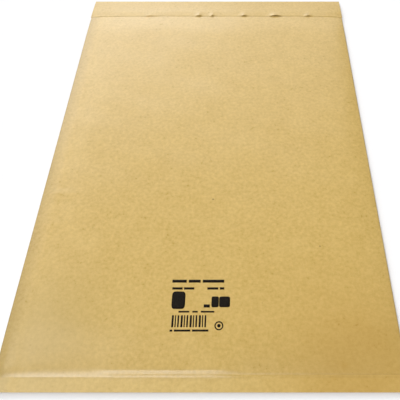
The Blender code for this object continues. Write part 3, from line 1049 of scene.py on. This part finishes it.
# Painted highlight along the flap's fold, broken up by the mottle.
fold_highlight = calc(tree, "MULTIPLY", rising(tree, along, LENGTH / 2, FOLD_HIGHLIGHT_WIDTH),
           calc(tree, "MULTIPLY_ADD", grain["Mottle"], 0.9, -0.15))
brown = mix_colour(tree, fold_highlight, brown, FOLD_HIGHLIGHT_COLOUR)
link_shader(tree, shader, brown, grain["Mottle"], KRAFT_ROUGHNESS,
            grain["Height"], strength=0.3, depth=0.05 * MM)
kraft_sheet.data.materials.append(kraft)
print("kraft:", len(tree.nodes), "nodes")

# %% [markdown]
# ## Ink
#
# The print is a flat black that soaks into the paper, so it has no gloss of its own. The paper's
# mottle still shows in it as a slight change in depth.

# %% Build the ink material
INK_DARK = (0.003, 0.002, 0.002, 1.0)
INK_PALE = (0.014, 0.011, 0.008, 1.0)
INK_SHINE = 0.1
INK_ROUGHNESS = (0.7, 0.9)
INK_GRAIN = {"Mottle size": 0.8 * MM, "Cloud size": 20 * MM, "Thread size": 0.6 * MM}
INK_THREAD_SHARE = 0.04
INK_THREAD_COLOUR = (0.30, 0.22, 0.10, 1.0)
ink, tree, shader, place = new_material("ink", (0.008, 0.006, 0.005), 0.8)
shader.inputs["Specular IOR Level"].default_value = INK_SHINE
grain = use_group(tree, paper_grain, {"Place": place, **INK_GRAIN})
thread_share = calc(tree, "MULTIPLY", grain["Threads"], INK_THREAD_SHARE)
black = mix_colour(tree, grain["Mottle"], INK_DARK, INK_PALE)
black = mix_colour(tree, thread_share, black, INK_THREAD_COLOUR)
link_shader(tree, shader, black, grain["Mottle"], INK_ROUGHNESS)
printed_marks.data.materials.append(ink)
print("ink:", len(tree.nodes), "nodes")

# %% [markdown]
# ## Bubble film
#
# The film is clear polyethylene: faintly milky, glossy and a little wavy. Part of the light passes
# through it, and a fine noise in the roughness gives it the smeared look of handled film.

# %% Build the film material
FILM_MILKY = (0.84, 0.88, 0.90, 1.0)
FILM_CLEAR = (0.95, 0.97, 0.97, 1.0)
FILM_ROUGHNESS = (0.08, 0.30)
SMEAR_SCALE = 160.0
film_clear, tree, shader, place = new_material("bubble_film", (0.90, 0.93, 0.94), 0.2)
shader.inputs["Transmission Weight"].default_value = 0.6
shader.inputs["IOR"].default_value = 1.5
smear = node(tree, "TexNoise", {"Vector": place, "Scale": SMEAR_SCALE, "Detail": 3.0})
milky = mix_colour(tree, smear.outputs[0], FILM_MILKY, FILM_CLEAR)
link_shader(tree, shader, milky, smear.outputs[0], FILM_ROUGHNESS,
            smear.outputs[0], strength=0.4, depth=0.1 * MM)
film.data.materials.clear()
film.data.materials.append(film_clear)
print("film:", len(tree.nodes), "nodes")

# %% [markdown]
# ## Finishes of the closure strips
#
# The adhesive is a pale amber hot melt, drawn out in streaks along the strip. The cover over it is
# a smooth white paper with the same grain as the kraft, only finer and fainter.

# %% Build the adhesive's material
AMBER_DARK = (0.70, 0.56, 0.26, 1.0)
AMBER_PALE = (0.88, 0.80, 0.56, 1.0)
AMBER_ROUGHNESS = (0.15, 0.45)
STREAK_STRETCH = (0.15, 1.0, 1.0)
STREAK_SCALE = 700.0
melt, tree, shader, place = new_material("hot_melt", (0.80, 0.70, 0.42), 0.3)
shader.inputs["Subsurface Weight"].default_value = 0.1
shader.inputs["Subsurface Radius"].default_value = (0.002, 0.0015, 0.0008)
drawn = node(tree, "VectorMath", {0: place, 1: STREAK_STRETCH}, operation="MULTIPLY")
streaks = node(tree, "TexNoise", {"Vector": drawn.outputs[0], "Scale": STREAK_SCALE, "Detail": 3.0})
amber = mix_colour(tree, streaks.outputs[0], AMBER_DARK, AMBER_PALE)
link_shader(tree, shader, amber, streaks.outputs[0], AMBER_ROUGHNESS,
            streaks.outputs[0], strength=0.6, depth=0.05 * MM)
adhesive_strip.data.materials.append(melt)
print("adhesive:", len(tree.nodes), "nodes")

# %% Build the cover's material
COVER_DARK = (0.82, 0.81, 0.76, 1.0)
COVER_PALE = (0.92, 0.915, 0.89, 1.0)
COVER_ROUGHNESS = (0.28, 0.40)
COVER_GRAIN = {"Mottle size": 1.2 * MM, "Cloud size": 18 * MM, "Thread size": 0.5 * MM}
COVER_THREAD_SHARE = 0.06
COVER_THREAD_COLOUR = (0.74, 0.72, 0.66, 1.0)
silicone, tree, shader, place = new_material("release_paper", (0.88, 0.87, 0.83), 0.35)
grain = use_group(tree, paper_grain, {"Place": place, **COVER_GRAIN})
thread_share = calc(tree, "MULTIPLY", grain["Threads"], COVER_THREAD_SHARE)
white = mix_colour(tree, grain["Mottle"], COVER_DARK, COVER_PALE)
white = mix_colour(tree, thread_share, white, COVER_THREAD_COLOUR)
link_shader(tree, shader, white, grain["Mottle"], COVER_ROUGHNESS,
            grain["Height"], strength=0.3, depth=0.02 * MM)
release_strip.data.materials.append(silicone)
print("cover:", len(tree.nodes), "nodes")

# %% [markdown]
# ## The floor
#
# The envelope lies on plain white, with one soft shadow under its lifted bottom edge. A white floor
# that is only lit never comes out as even as a studio photograph's, so part of its white is given
# to camera rays by the floor itself, and the rest is lit, which keeps the shadow.

# %% Make the floor
FLOOR_REACH = 6.0
FLOOR_HEIGHT = -0.1 * MM
FLOOR_SHARE = 0.05
floor_corners = [(across * FLOOR_REACH, along * FLOOR_REACH, FLOOR_HEIGHT)
                 for across, along in ((-1, -1), (1, -1), (1, 1), (-1, 1))]
floor = mesh_piece("floor", floor_corners, [(0, 1, 2, 3)])
floor_white = bpy.data.materials.new("floor")
floor_white.use_nodes = True
tree = floor_white.node_tree
tree.nodes.clear()
lit = node(tree, "BsdfDiffuse", {"Color": (0.96, 0.96, 0.97, 1.0)})
glow = node(tree, "Emission", {"Color": (1.0, 1.0, 1.0, 1.0), "Strength": 1.0})
path = node(tree, "LightPath").outputs
seen = calc(tree, "MAXIMUM", path["Is Camera Ray"],
            calc(tree, "MAXIMUM", path["Is Glossy Ray"], path["Is Transmission Ray"]))
surface = node(tree, "MixShader", {0: calc(tree, "MULTIPLY", seen, FLOOR_SHARE),
                                   1: lit.outputs[0], 2: glow.outputs[0]})
node(tree, "OutputMaterial", {0: surface.outputs[0]})
floor.data.materials.append(floor_white)
print("floor reaches", FLOOR_REACH, "m each way")

# %% [markdown]
# ## The light
#
# The photograph has even, almost shadowless light with a soft glow on the far left. A pale world
# gives the even part. Wide sun lamps do the rest: they light the whole table alike, so the floor
# stays white to its corners, and where the paper mirrors one of them its sheen shows. The four at
# the back and left make the glow, and the two in front light the shoulder above the bottom band.

# %% Set the world and the lamps
WORLD_STRENGTH = 0.20
SUNS = (
    ("back_left_low", (-0.35, 0.85, 0.40), 40.0, 0.87),
    ("back_left_high", (-0.50, 0.60, 0.62), 30.0, 0.35),
    ("back", (0.0, 0.85, 0.50), 40.0, 0.62),
    ("left", (-0.45, 0.15, 0.88), 25.0, 0.52),
    ("front_left", (-0.36, -0.43, 0.83), 14.0, 0.92),
    ("front", (-0.10, -0.43, 0.90), 14.0, 0.65),
)
world = bpy.data.worlds.new("studio")
bpy.context.scene.world = world
world.use_nodes = True
background = world.node_tree.nodes["Background"]
background.inputs["Color"].default_value = (1.0, 1.0, 1.0, 1.0)
background.inputs["Strength"].default_value = WORLD_STRENGTH


def wide_sun(name, towards, spread_angle, strength):
    """A sun lamp that stands in the direction given and looks as wide as the angle."""
    lamp_data = bpy.data.lights.new(name, "SUN")
    lamp_data.angle = math.radians(spread_angle)
    lamp_data.energy = strength
    lamp = bpy.data.objects.new(name, lamp_data)
    lamp.rotation_euler = Vector(towards).to_track_quat("Z", "Y").to_euler()
    lamp.location = Vector(towards).normalized()
    bpy.context.scene.collection.objects.link(lamp)


for sun in SUNS:
    wide_sun(*sun)
bpy.context.scene.view_settings.view_transform = "Standard"
